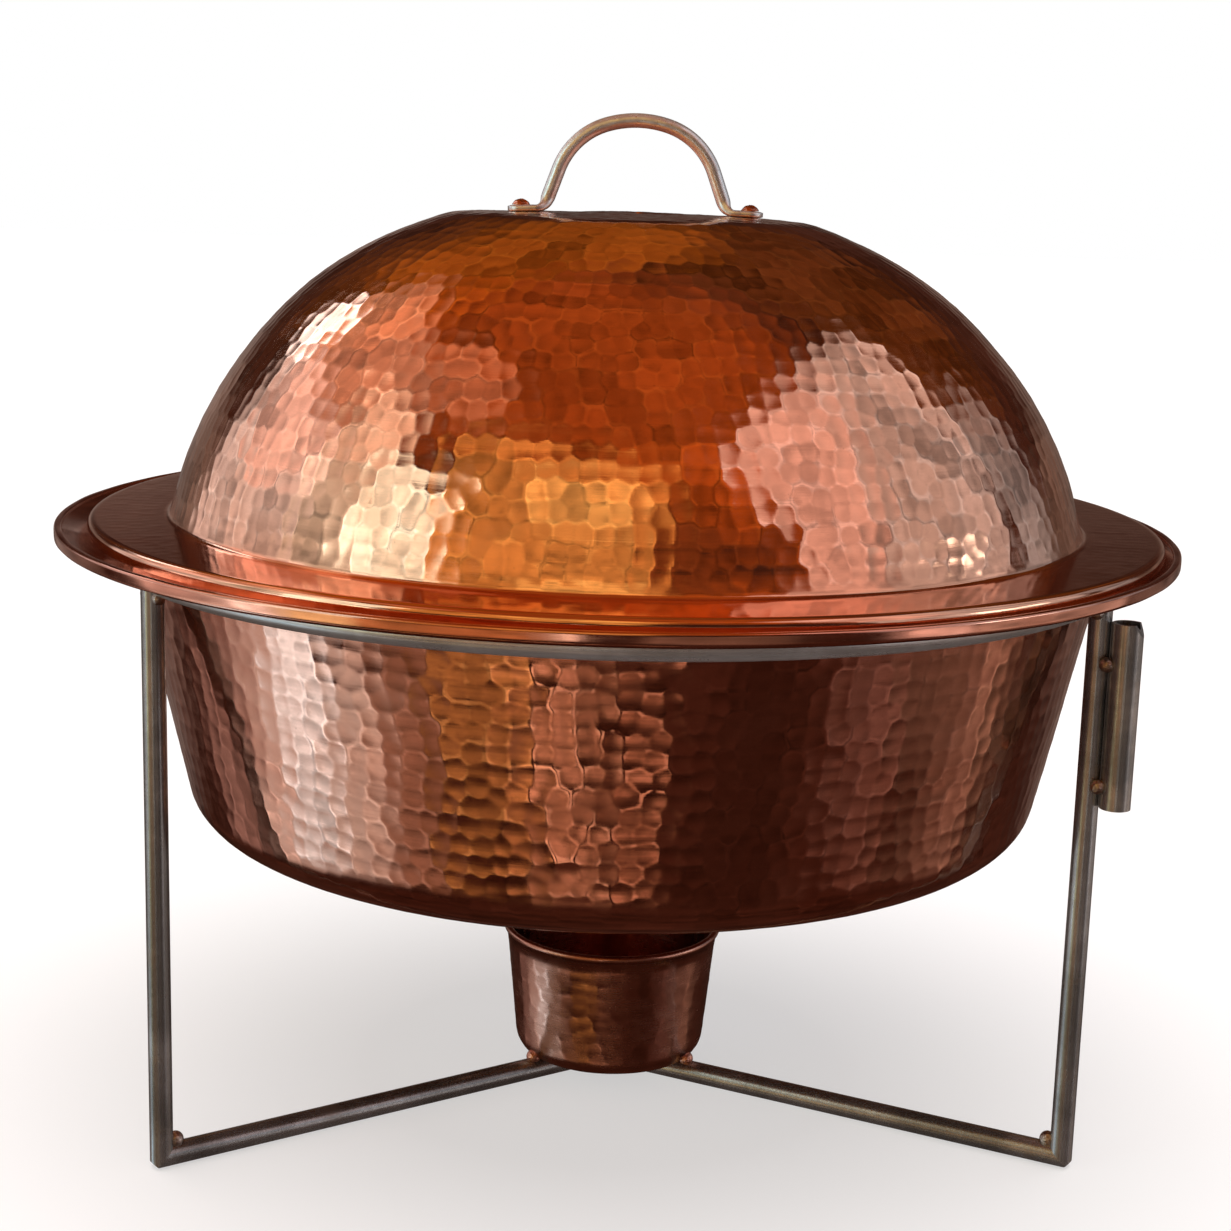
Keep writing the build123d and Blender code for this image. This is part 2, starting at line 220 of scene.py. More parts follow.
def cup_line():
    bead_r = CUP_R - CUP_BEAD_R
    base_r, shoulder_r, neck_r = bead_r - 8.8, bead_r - 5.8, bead_r - 1.4
    shoulder_z, neck_z = CUP_LOW[2] + 5.5, CUP_BEAD_Z - 8.6
    floor = [(0, CUP_FLOOR_Z), (base_r, CUP_FLOOR_Z)]
    wall = [(shoulder_r, shoulder_z), (neck_r, neck_z), (bead_r, CUP_BEAD_Z)]
    return rounded(floor + wall, CUP_BENDS)


def sheet_outline(line, thickness, outside, bead=None, squareness=1.0):
    """The closed outline of a sheet about its middle line, from the axis out along its outer skin,
    round its edge or its rolled bead, and back along its inner skin. outside is 1 where the outer
    skin is on the line's right. bead is a centre and a half width and height, and a squareness over
    1 flattens its sides. The third column is the skin: 1 outer, 0 edge, -1 inner."""
    side = right_of(line) * outside * thickness / 2
    outer, inner = line + side, line - side
    outer[0, 0] = inner[0, 0] = 0
    centre, half = (line[-1], np.full(2, thickness / 2)) if bead is None else np.array(bead).reshape(2, 2)
    if bead is not None:
        outer = outer[np.linalg.norm((outer - centre) / half, axis=1) > 1]
        inner = inner[np.linalg.norm((inner - centre) / half, axis=1) > 1]
    first, last = (outer[-1] - centre) / half, (inner[-1] - centre) / half
    start = math.degrees(math.atan2(first[1], first[0]))
    sweep = (math.degrees(math.atan2(last[1], last[0])) - start) * outside % 360 * outside
    circle = arc((0, 0), 1.0, start, start + sweep, step=0.5 / half.max())
    edge = centre + half * np.sign(circle) * np.abs(circle) ** (1 / squareness)
    parts = [(resample(outer, FINE), 1), (edge[1:-1], 0), (resample(inner[::-1], COARSE), -1)]
    return np.concatenate([np.column_stack([points, np.full(len(points), skin)]) for points, skin in parts])


# --- hammer marks ----------------------------------------------------------------------------------
class HammerMarks:
    """Concentric rows of hammer blows on a turned sheet. Each blow leaves a shallow bowl, and the
    bowls meet in ridges, so the surface is the deepest of the bowls at each point."""

    def __init__(self, line, pitch, bowl_r, scatter=0.075, tilt=0.012, unevenness=0.007, columns=False):
        along = lengths(line)
        self.pitch = pitch
        self.bowl_r = bowl_r
        self.row_place = np.arange(0, along[-1] + pitch, pitch)
        ideal = 2 * np.pi * np.interp(self.row_place, along, line[:, 0]) / pitch
        self.count = np.maximum(1, np.round(ideal)).astype(int)  # the first is a single blow on the axis
        self.turn = rng.random(len(self.count)) * 2 * np.pi
        if columns:  # each row follows the one before it, so the blows also stand in columns
            for k in range(1, len(ideal)):
                if abs(ideal[k] / self.count[k - 1] - 1) < 0.09:
                    self.count[k] = self.count[k - 1]
            self.turn = np.cumsum(rng.normal(0, 0.16, len(ideal)) * 2 * np.pi / self.count)
        self.first = np.concatenate([[0], np.cumsum(self.count)])
        total = self.first[-1]
        self.shift_along = rng.normal(0, scatter * pitch, total)
        self.shift_round = rng.normal(0, scatter * pitch, total)
        self.tilt_along = rng.normal(0, tilt, total)
        self.tilt_round = rng.normal(0, tilt, total)
        self.force = rng.normal(0, unevenness, total)
        self.ridge = (0.62 * pitch) ** 2 / (2 * bowl_r)  # about how high the ridges stand

    def height(self, along, radius, angle):
        """Height over the bottoms of the bowls, in millimetres."""
        softness = self.ridge * 0.055  # rounds the ridges a little
        nearest_row = np.rint(along / self.pitch).astype(int)
        total = np.zeros_like(along)
        for row_step in (-1, 0, 1):
            row = nearest_row + row_step
            real = (row >= 0) & (row < len(self.count))
            row = np.clip(row, 0, len(self.count) - 1)
            count = self.count[row]
            place = (angle - self.turn[row]) / (2 * np.pi) * count
            for step in (-1, 0, 1):
                number = np.rint(place).astype(int) + step
                blow = self.first[row] + number % count
                across = (place - number) * 2 * np.pi / count * radius - self.shift_round[blow]
                across = np.where(count == 1, 0.0, across)
                up = along - self.row_place[row] - self.shift_along[blow]
                depth = self.force[blow] - (across**2 + up**2) / (2 * self.bowl_r)
                depth += self.tilt_along[blow] * up + self.tilt_round[blow] * across
                total += real * ((count > 1) | (step == 0)) * np.exp(depth / softness)
        return -softness * np.log(total + 1e-30)


def wobble(along, angle, size):
    """Slow unevenness of a sheet that was raised by hand."""
    waves = [(3, 0.031, 0.5), (5, 0.052, 2.1), (8, -0.043, 4.0), (13, 0.085, 1.2), (21, -0.11, 5.3)]
    total = 0
    for k, (turns, rate, phase) in enumerate(waves):
        total = total + np.cos(turns * angle + rate * along + phase) / (1 + k)
    return size * total


# --- meshes ----------------------------------------------------------------------------------------
def make_object(name, points, faces, material):
    """A smooth-shaded mesh object from points in millimetres."""
    mesh = bpy.data.meshes.new(name)
    mesh.from_pydata((np.asarray(points) * MM).tolist(), [], faces)
    mesh.validate()
    mesh.shade_smooth()
    mesh.materials.append(material)
    piece = bpy.data.objects.new(name, mesh)
    bpy.context.scene.collection.objects.link(piece)
    return piece


def stitch(first_a, count_a, first_b, count_b):
    """Faces between two rings of points, where one may have twice as many points as the other."""
    a = np.arange(count_a)
    b = np.arange(count_b)
    if count_a == count_b:
        after_a, after_b = first_a + (a + 1) % count_a, first_b + (a + 1) % count_b
        return np.column_stack([first_a + a, first_b + a, after_b, after_a]).tolist()
    if count_b == 2 * count_a:
        here, after = first_a + a, first_a + (a + 1) % count_a
        left, middle, right = first_b + 2 * a, first_b + 2 * a + 1, first_b + (2 * a + 2) % count_b
        faces = [(here, left, middle), (here, middle, after), (after, middle, right)]
    else:
        here, after = first_b + b, first_b + (b + 1) % count_b
        left, middle, right = first_a + 2 * b, first_a + 2 * b + 1, first_a + (2 * b + 2) % count_a
        faces = [(left, here, middle), (middle, here, after), (middle, after, right)]
    return [row for face in faces for row in np.column_stack(face).tolist()]


def edge_waves(angle, size):
    """Slight unevenness round a rim that was rolled by hand."""
    return size * (np.sin(17 * angle) + np.sin(29 * angle + 1.0) + np.sin(43 * angle + 2.5))


def turned(name, outline, material, marks=None, strength=None, axis_x=0.0, fine=FINE, coarse=COARSE,
           edge_wave=0.0, least=35):
    """Turns a closed outline about an upright axis at axis_x. marks dent its skins by strength, a
    function of (distance along the skin, radius, height) that gives 0 to 1."""
    rz, skin = outline[:, :2], outline[:, 2]
    spacing = np.where(skin < 0, coarse, fine)
    doublings = np.ceil(np.log2(np.maximum(1, 2 * np.pi * rz[:, 0] / spacing / least))).astype(int)
    for k in range(1, len(doublings)):
        doublings[k] = max(doublings[k], doublings[k - 1] - 1)
    for k in range(len(doublings) - 2, -1, -1):
        doublings[k] = max(doublings[k], doublings[k + 1] - 1)
    counts = least * 2**doublings
    counts[0] = counts[-1] = 1
    starts = np.concatenate([[0], np.cumsum(counts)])
    row = np.repeat(np.arange(len(counts)), counts)
    angle = 2 * np.pi * (np.arange(starts[-1]) - starts[row]) / counts[row]
    normals = right_of(rz)
    if rz[0, 1] > rz[-1, 1]:
        normals = -normals
    normals[0, 0] = normals[-1, 0] = 0
    radius, height = rz[row, 0], rz[row, 1]
    push = np.zeros(len(row))
    ridge = np.zeros(len(row))
    if marks:
        along = lengths(rz)
        along = np.where(skin < 0, along[-1] - along, along)[row]
        bump = marks.height(along, radius, angle)
        share = strength(along, radius, height)
        ridge = np.clip(bump / marks.ridge, 0, 1) * share
        push = (bump - 0.55 * marks.ridge + wobble(along, angle, 1.2 * marks.ridge)) * share
        push = np.where(skin[row] > 0, push, -0.6 * push)
        push = np.where(skin[row] == 0, edge_waves(angle, edge_wave), push)
    radius = radius + push * normals[row, 0]
    height = height + push * normals[row, 1]
    points = np.column_stack([axis_x + radius * np.cos(angle), radius * np.sin(angle), height])
    faces = []
    for k in range(len(counts) - 1):
        if counts[k] == 1:
            ring = np.arange(counts[k + 1])
            fan = (0 * ring + starts[k], starts[k + 1] + ring, starts[k + 1] + (ring + 1) % counts[k + 1])
            faces += np.column_stack(fan).tolist()
        elif counts[k + 1] == 1:
            ring = np.arange(counts[k])
            fan = (starts[k] + ring, 0 * ring + starts[k + 1], starts[k] + (ring + 1) % counts[k])
            faces += np.column_stack(fan).tolist()
        else:
            faces += stitch(starts[k], counts[k], starts[k + 1], counts[k + 1])
    if rz[0, 1] > rz[-1, 1]:
        faces = [face[::-1] for face in faces]
    faces = [face[::-1] for face in faces]
    piece = make_object(name, points, faces, material)
    # The ridge attribute drives the copper's ridge wear and its painted highlight.
    ridge_wear_and_highlight = piece.data.attributes.new("ridge", "FLOAT", "POINT")
    ridge_wear_and_highlight.data.foreach_set("value", ridge)
    return piece


# --- material parts --------------------------------------------------------------------------------
class Tree:
    """Short names for building a node tree."""

    def __init__(self, owner):
        owner.use_nodes = True
        self.nodes = owner.node_tree.nodes
        self.links = owner.node_tree.links

    def add(self, kind, inputs=None, **settings):
        node = self.nodes.new(kind)
        for name, value in settings.items():
            setattr(node, name, value)
        for name, value in (inputs or {}).items():
            if isinstance(value, bpy.types.NodeSocket):
                self.links.new(value, node.inputs[name])
            else:
                node.inputs[name].default_value = value
        return node

    def math(self, operation, a, b=0.0, c=0.0):
        return self.add("ShaderNodeMath", {0: a, 1: b, 2: c}, operation=operation).outputs[0]

    def vector(self, operation, a, b=(0, 0, 0)):
        node = self.add("ShaderNodeVectorMath", {0: a, 1: b}, operation=operation)
        return node.outputs["Value" if operation in ("DOT_PRODUCT", "LENGTH") else "Vector"]

    def noise(self, vector, scale, detail=3.0, roughness=0.5, distortion=0.0):
        inputs = {"Vector": vector, "Scale": scale, "Detail": detail}
        inputs |= {"Roughness": roughness, "Distortion": distortion}
        return self.add("ShaderNodeTexNoise", inputs).outputs["Fac"]

    def ramp(self, value, low, high, to_low=0.0, to_high=1.0, smooth=True):
        inputs = {"Value": value, "From Min": low, "From Max": high, "To Min": to_low, "To Max": to_high}
        kind = "SMOOTHSTEP" if smooth else "LINEAR"
        return self.add("ShaderNodeMapRange", inputs, interpolation_type=kind).outputs["Result"]

    def mix(self, share, a, b, blend="MIX"):
        node = self.add("ShaderNodeMix", data_type="RGBA", blend_type=blend)
        sockets = [s for s in node.inputs if s.enabled]
        for socket, value in zip((sockets[0], sockets[1], sockets[2]), (share, a, b)):
            if isinstance(value, bpy.types.NodeSocket):
                self.links.new(value, socket)
            else:
                socket.default_value = value
        return [s for s in node.outputs if s.enabled][0]

    def bump(self, height, distance, strength=1.0, normal=None):
        inputs = {"Height": height, "Distance": distance, "Strength": strength}
        if normal is not None:
            inputs["Normal"] = normal
        return self.add("ShaderNodeBump", inputs).outputs["Normal"]

    def object_place(self):
        return self.add("ShaderNodeTexCoord").outputs["Object"]

    def separate(self, vector):
        return self.add("ShaderNodeSeparateXYZ", {"Vector": vector}).outputs

    def combine(self, x, y, z):
        return self.add("ShaderNodeCombineXYZ", {"X": x, "Y": y, "Z": z}).outputs["Vector"]

    def turned_place(self, axis_x, round_rate, outline_rate):
        """A vector that changes slowly round an upright axis and fast along a turned outline."""
        place = self.vector("SUBTRACT", self.object_place(), (axis_x * MM, 0, 0))
        x, y, z = self.separate(place)
        flat = self.combine(x, y, 0.0)
        radius = self.vector("LENGTH", flat)
        heading = self.vector("NORMALIZE", flat)
        heading = self.vector("MULTIPLY", heading, (round_rate, round_rate, 0))
        outline = self.math("MULTIPLY", self.math("SUBTRACT", radius, z), outline_rate)
        return self.vector("ADD", heading, self.combine(0.0, 0.0, outline))


def rgb(red, green, blue):
    return (red, green, blue, 1.0)


def new_metal(name):
    """A material with a fully metallic surface, its tree and its shader."""
    material = bpy.data.materials.new(name)
    tree = Tree(material)
    shader = tree.nodes["Principled BSDF"]
    shader.inputs["Metallic"].default_value = 1.0
    return material, tree, shader


def copper(name, fresh, aged, smooth, rough, axis_x=0.0, lines=1.0):
    """Hammered copper: blotches of tarnish, ridges rubbed bright with a painted highlight laid on them, fine
    turning lines, handling marks.
    """
    material, tree, shader = new_metal(name)
    place = tree.object_place()
    blotches = tree.noise(place, 11.0, 4.0, 0.55, 0.6)
    clouds = tree.ramp(blotches, 0.35, 0.68)
    smudges = tree.noise(place, 55.0, 5.0, 0.62)
    specks = tree.ramp(tree.noise(place, 900.0, 2.0, 0.5), 0.70, 0.76)
    ridge = tree.add("ShaderNodeAttribute", attribute_name="ridge").outputs["Fac"]
    turning = tree.noise(tree.turned_place(axis_x, 2.2, 900.0), 1.0, 4.0, 0.7)
    colour = tree.mix(clouds, rgb(*aged), rgb(*fresh))
    # Ridges are lightened past fresh copper: partly real rubbing wear, partly a painted highlight.
    ridge_wear_and_highlight = tree.math("MULTIPLY", tree.ramp(ridge, 0.50, 0.95), 0.60)
    colour = tree.mix(ridge_wear_and_highlight, colour, rgb(*(min(1.0, 1.08 * c + 0.03) for c in fresh)))
    colour = tree.mix(tree.math("MULTIPLY", specks, 0.35), colour, rgb(*(0.45 * c for c in aged)))
    tree.links.new(colour, shader.inputs["Base Color"])
    dull = tree.ramp(smudges, 0.30, 0.75, smooth, rough)
    dull = tree.math("ADD", dull, tree.math("MULTIPLY", tree.math("SUBTRACT", turning, 0.5), 0.14 * lines))
    dull = tree.math("SUBTRACT", dull, tree.math("MULTIPLY", ridge_wear_and_highlight, 0.10))
    tree.links.new(dull, shader.inputs["Roughness"])
    lined = tree.bump(turning, 0.00002 * lines, 0.5)
    dented = tree.bump(tree.noise(place, 140.0, 3.0, 0.5), 0.00005, 0.35, lined)
    tree.links.new(dented, shader.inputs["Normal"])
    return material


STEEL_METALLIC = 0.88  # a thin dull film covers part of the bare steel


def brushed(name, light, dark, smooth, rough, rates, turn=0.0, tint=(0.30, 0.22, 0.15)):
    """Drawn or brushed steel. rates stretches the grain: low along the bar and high across it."""
    material, tree, shader = new_metal(name)
    place = tree.object_place()
    turned_back = {"Vector": place, "Rotation": (0, 0, -turn), "Scale": rates}
    aligned = tree.add("ShaderNodeMapping", turned_back).outputs[0]
    grain = tree.noise(aligned, 1.0, 5.0, 0.65)
    shader.inputs["Metallic"].default_value = STEEL_METALLIC
    clouds = tree.ramp(tree.noise(place, 26.0, 4.0, 0.6, 0.4), 0.36, 0.66)
    stains = tree.ramp(tree.noise(place, 70.0, 3.0, 0.55), 0.56, 0.74)
    colour = tree.mix(clouds, rgb(*dark), rgb(*light))
    colour = tree.mix(tree.math("MULTIPLY", stains, 0.35), colour, rgb(*tint))
    colour = tree.mix(tree.ramp(grain, 0.35, 0.75, 0.0, 0.30), colour, rgb(*(0.55 * c for c in dark)))
    tree.links.new(colour, shader.inputs["Base Color"])
    dull = tree.math("ADD", tree.ramp(grain, 0.25, 0.75, smooth, rough), tree.math("MULTIPLY", stains, 0.08))
    tree.links.new(dull, shader.inputs["Roughness"])
    scored = tree.bump(grain, 0.00003, 0.6)
    tree.links.new(tree.bump(tree.noise(place, 320.0, 3.0), 0.00006, 0.4, scored), shader.inputs["Normal"])
    return material


def beaded(name, light, dark, smooth, rough, ripple):
    """Weld or braze metal: rippled, blotched and a little scaled."""
    material, tree, shader = new_metal(name)
    place = tree.object_place()
    ripples = tree.noise(place, ripple, 2.0, 0.5, 1.2)
    scale = tree.noise(place, 520.0, 4.0, 0.65)
    colour = tree.mix(tree.ramp(tree.noise(place, 210.0, 4.0, 0.6), 0.38, 0.66), rgb(*dark), rgb(*light))
    tree.links.new(colour, shader.inputs["Base Color"])
    tree.links.new(tree.ramp(scale, 0.3, 0.7, smooth, rough), shader.inputs["Roughness"])
    rippled = tree.bump(ripples, 0.0009, 0.8)
    tree.links.new(tree.bump(scale, 0.0001, 0.6, rippled), shader.inputs["Normal"])
    return material


# --- materials -------------------------------------------------------------------------------------
LID_COPPER = copper("copper_lid_hammered", (0.93, 0.50, 0.33), (0.86, 0.41, 0.25), 0.07, 0.17, LID_X)
PAN_COPPER = copper("copper_pan_hammered", (0.82, 0.41, 0.29), (0.70, 0.30, 0.20), 0.10, 0.22)
CUP_COPPER = copper("copper_cup_hammered", (0.66, 0.34, 0.25), (0.50, 0.23, 0.16), 0.18, 0.32, CUP_X, 1.6)
RIVET_COPPER = copper("copper_rivet", (0.80, 0.38, 0.25), (0.60, 0.24, 0.15), 0.22, 0.40, LID_X, 0.3)
BURR_COPPER = copper("copper_burr", (0.76, 0.38, 0.26), (0.60, 0.26, 0.18), 0.25, 0.40, LID_X, 0.3)
BRAZE = beaded("braze_bead", (0.80, 0.46, 0.35), (0.60, 0.26, 0.18), 0.24, 0.45, 330.0)
# Weld colours lighter and pinker than the bare steel: a painted highlight and a painted reflection of the
# copper.
WELD_PAINTED_SHEEN = beaded("weld_bead_painted_sheen", (0.66, 0.56, 0.50), (0.40, 0.33, 0.28), 0.26, 0.48, 420.0)

STEEL_LIGHT = (0.44, 0.44, 0.43)
STEEL_DARK = (0.25, 0.25, 0.24)
LEG_STEEL = brushed("steel_upright", STEEL_LIGHT, STEEL_DARK, 0.20, 0.34, (1500, 1500, 22))
SLEEVE_STEEL = brushed("steel_sleeve", (0.56, 0.52, 0.47), STEEL_DARK, 0.22, 0.38, (1500, 1500, 22))
HANDLE_STEEL = brushed("steel_handle", (0.90, 0.90, 0.88), (0.76, 0.75, 0.72), 0.24, 0.38, (420, 900, 420))
STAINLESS_COLOURS = ((0.60, 0.60, 0.59), (0.54, 0.54, 0.53))
STAINLESS_TINT = (0.50, 0.50, 0.49)
STAINLESS_GRAIN = (260, 260, 1400)
STAINLESS = brushed("stainless_food_pan", *STAINLESS_COLOURS, 0.18, 0.30, STAINLESS_GRAIN, tint=STAINLESS_TINT)


def ring_steel_painted_lighter():
    """Brushed round the ring, so the grain follows its bar. Its colours are a paler copy of the stand's steel:
    painted light, for the ring sits in brighter light than the legs.
    """
    material, tree, shader = new_metal("steel_ring_painted_lighter")
    shader.inputs["Metallic"].default_value = STEEL_METALLIC
    grain = tree.noise(tree.turned_place(0.0, 5.0, 1400.0), 1.0, 5.0, 0.65)
    clouds = tree.ramp(tree.noise(tree.object_place(), 26.0, 4.0, 0.6, 0.4), 0.36, 0.66)
    # Paler than the legs' steel: painted light on the ring.
    colour = tree.mix(clouds, rgb(0.56, 0.54, 0.51), rgb(0.76, 0.75, 0.73))
    colour = tree.mix(tree.ramp(grain, 0.35, 0.75, 0.0, 0.30), colour, rgb(0.17, 0.16, 0.15))
    tree.links.new(colour, shader.inputs["Base Color"])
    tree.links.new(tree.ramp(grain, 0.25, 0.75, 0.24, 0.40), shader.inputs["Roughness"])
    tree.links.new(tree.bump(grain, 0.00003, 0.6), shader.inputs["Normal"])
    return material


def dress(node, material):
    """Gives a CAD node its material."""
    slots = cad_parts[node].data.materials
    slots.clear()
    slots.append(material)


# --- copper pieces ---------------------------------------------------------------------------------
def lid_strength(along, radius, height):
    """Full on the dome down to its foot, light on the brim and the lip."""
    dome = np.clip((DOME_FOOT_R + 1.2 - radius) / 2.5, 0, 1)
    brim = np.clip((radius - DOME_FOOT_R - 3.0) / 4.0, 0, 1) * np.clip((LID_R - 3.0 - radius) / 5.0, 0, 1)
    lip = np.clip((LID_BRIM_Z - 2.0 - height) / 2.0, 0, 1)
    return dome + 0.10 * brim + 0.30 * lip


def pan_strength(along, radius, height):
    """Full on the wall, fading at the brim, and lighter under the floor."""
    wall = np.clip((PAN_BRIM_Z - 1.5 - height) / 4.0, 0, 1)
    under = np.clip((height - PAN_FLOOR_Z - 2.0) / 12.0, 0.35, 1)
    return wall * under


def cup_strength(along, radius, height):
    wall = np.clip((CUP_BEAD_Z - 3.0 - height) / 6.0, 0, 1)
    return wall * np.clip((height - CUP_FLOOR_Z) / 5.0, 0.2, 1)


def lean_dome(lid):
    """Raises the left of the dome a little over the right, as its maker left it."""
    points = np.empty(3 * len(lid.data.vertices))
    lid.data.vertices.foreach_get("co", points)
    points = points.reshape(-1, 3)
    x = points[:, 0] / MM - LID_X
    radius = np.hypot(x, points[:, 1] / MM)
    share = np.clip((radius - 60) / 25, 0, 1) * np.clip((DOME_FOOT_R - radius) / 40, 0, 1)
    points[:, 2] -= DOME_LEAN * x * share * MM
    lid.data.vertices.foreach_set("co", points.ravel())


def build_copper():
    line = lid_line()
    marks = HammerMarks(line, pitch=7.9, bowl_r=76.0)
    outline = sheet_outline(line, LID_SHEET, outside=-1)
    lid = turned("hammered_lid", outline, LID_COPPER, marks, lid_strength, LID_X)
    lean_dome(lid)
    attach(lid, "lid")
    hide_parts("lid_shell")

    line = pan_line()
    marks = HammerMarks(line, pitch=8.2, bowl_r=88.0, scatter=0.055, columns=True)
    rim = (PAN_RIM_R, PAN_HIGH[2] - RIM_HEIGHT / 2, RIM_WIDTH / 2, RIM_HEIGHT / 2)
    outline = sheet_outline(line, PAN_SHEET, outside=1, bead=rim, squareness=2.2)
    pan = turned("hammered_pan", outline, PAN_COPPER, marks, pan_strength, edge_wave=0.03)
    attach(pan, "pan")
    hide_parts("water_pan")

    line = cup_line()
    marks = HammerMarks(line, pitch=6.2, bowl_r=70.0, columns=True)
    lip = (CUP_R - CUP_BEAD_R, CUP_BEAD_Z, CUP_BEAD_R, CUP_BEAD_R)
    outline = sheet_outline(line, CUP_SHEET, outside=1, bead=lip)
    cup = turned("hammered_cup", outline, CUP_COPPER, marks, cup_strength, CUP_X, fine=1.2, coarse=2.0)
    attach(cup, "stand")
    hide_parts("burner_cup")


# --- handle and rivets -----------------------------------------------------------------------------
def pad_middle(x):
    """Height of the middle of a pad, which lies along the crown."""
    return LID_HIGH[2] - crown_drop(np.abs(x)) + PAD_THICK / 2


def handle_half_path():
    """Middle line of the handle from the end of one pad up to the apex, as (x, z) points."""
    lean = math.radians(HANDLE_LEAN)
    top_z = HANDLE_HIGH[2] - HANDLE_ROD_R - HANDLE_TOP_BEND
    shoulder_z = top_z + math.sqrt((HANDLE_TOP_BEND - HANDLE_SHOULDER_BEND) ** 2 - HANDLE_SHOULDER_X**2)
    turn = math.degrees(math.atan2(shoulder_z - top_z, HANDLE_SHOULDER_X))
    side_x = HANDLE_SHOULDER_X + HANDLE_SHOULDER_BEND * math.cos(lean)
    side_z = shoulder_z + HANDLE_SHOULDER_BEND * math.sin(lean)
    bend_z = pad_middle(RIVET_REACH - PAD_HALF_WIDTH) + HANDLE_FOOT_BEND
    low_z = bend_z - HANDLE_FOOT_BEND * math.sin(lean)
    bend_x = side_x + (side_z - low_z) * math.tan(lean) + HANDLE_FOOT_BEND * math.cos(lean)
    pad_x = np.linspace(RIVET_REACH + PAD_HALF_WIDTH, bend_x + 1.5, 20)
    pad = np.column_stack([pad_x, pad_middle(pad_x)])
    foot = arc((bend_x, bend_z), HANDLE_FOOT_BEND, 270, 180 + HANDLE_LEAN, step=0.4)
    shoulder = arc((HANDLE_SHOULDER_X, shoulder_z), HANDLE_SHOULDER_BEND, HANDLE_LEAN, turn)
    top = arc((0, top_z), HANDLE_TOP_BEND, turn, 90)
    return resample(np.concatenate([pad, foot, shoulder, top]), 0.7)


def build_handle():
    """A rod bent to an arch, with its ends flattened, turned outward and rounded about the rivets."""
    half = handle_half_path()
    path = np.concatenate([half, half[-2::-1] * (-1, 1)])
    along = lengths(path)
    from_end = np.minimum(along, along[-1] - along)
    flat = 1 - np.clip((from_end - 2 * PAD_HALF_WIDTH - 0.5) / 9.0, 0, 1)
    flat = flat * flat * (3 - 2 * flat)
    end = np.clip(1 - from_end / PAD_HALF_WIDTH, 0, 1)
    half_width = HANDLE_ROD_R + (PAD_HALF_WIDTH - HANDLE_ROD_R) * flat
    half_width = half_width * np.sqrt(np.maximum(1 - end**2, 0.002))
    half_height = HANDLE_ROD_R + (PAD_THICK / 2 - HANDLE_ROD_R) * flat
    half_height = half_height * (1 - 0.35 * end**4)
    power = 1 / (1 + 1.1 * flat)
    outward = -right_of(path)
    sides = 40
    turn = 2 * np.pi * np.arange(sides) / sides
    wide = np.sign(np.cos(turn)) * np.abs(np.cos(turn)) ** power[:, None]
    tall = np.sign(np.sin(turn)) * np.abs(np.sin(turn)) ** power[:, None]
    x = path[:, 0, None] + half_height[:, None] * tall * outward[:, 0, None]
    y = half_width[:, None] * wide
    z = path[:, 1, None] + half_height[:, None] * tall * outward[:, 1, None]
    uneven = 1 + 0.012 * np.sin(along[:, None] * 0.31 + 2 * turn)
    uneven = uneven + 0.010 * np.sin(along[:, None] * 0.83 - turn)
    points = np.stack([LID_X + x, y * uneven, z], axis=2).reshape(-1, 3)
    faces = []
    for k in range(len(path) - 1):
        faces += stitch(k * sides, sides, (k + 1) * sides, sides)
    faces.append(list(range(sides)))
    last = (len(path) - 1) * sides
    faces.append(list(range(last + sides - 1, last - 1, -1)))
    handle = make_object("arched_handle", points, faces, HANDLE_STEEL)
    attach(handle, "lid")
    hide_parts("lid_handle")


def build_rivets():
    """Hand-set copper rivets: low domed heads on the pads and peened tails inside the dome."""
    seat = pad_middle(RIVET_REACH) + PAD_THICK / 2
    tail = seat - PAD_THICK - RIVET_GRIP
    head_ball = (RIVET_HEAD_R**2 + RIVET_HEAD_RISE**2) / (2 * RIVET_HEAD_RISE)
    tail_ball = (RIVET_TAIL_R**2 + RIVET_TAIL_RISE**2) / (2 * RIVET_TAIL_RISE)
    head_turn = math.degrees(math.asin(RIVET_HEAD_R / head_ball))
    tail_turn = math.degrees(math.asin(RIVET_TAIL_R / tail_ball))
    head = arc((0, seat + RIVET_HEAD_RISE - head_ball), head_ball, 90, 90 - head_turn, step=0.35)
    under = arc((0, tail - RIVET_TAIL_RISE + tail_ball), tail_ball, tail_turn - 90, -90, step=0.35)
    shank = np.array([(RIVET_R, seat), (RIVET_R, tail)])
    line = np.concatenate([head, shank, under])
    outline = np.column_stack([line, np.ones(len(line))])
    outline[0, 0] = outline[-1, 0] = 0
    for name, side in (("rivet_left", -1), ("rivet_right", 1)):
        marks = HammerMarks(line, pitch=2.3, bowl_r=7.0, tilt=0.06, unevenness=0.02)
        strength = lambda along, radius, height: (height > seat + 0.4) * 1.0
        place = LID_X + side * RIVET_REACH
        rivet = turned(name, outline, RIVET_COPPER, marks, strength, place, 0.5, 0.5, least=24)
        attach(rivet, "lid")
        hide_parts("handle_rivets")


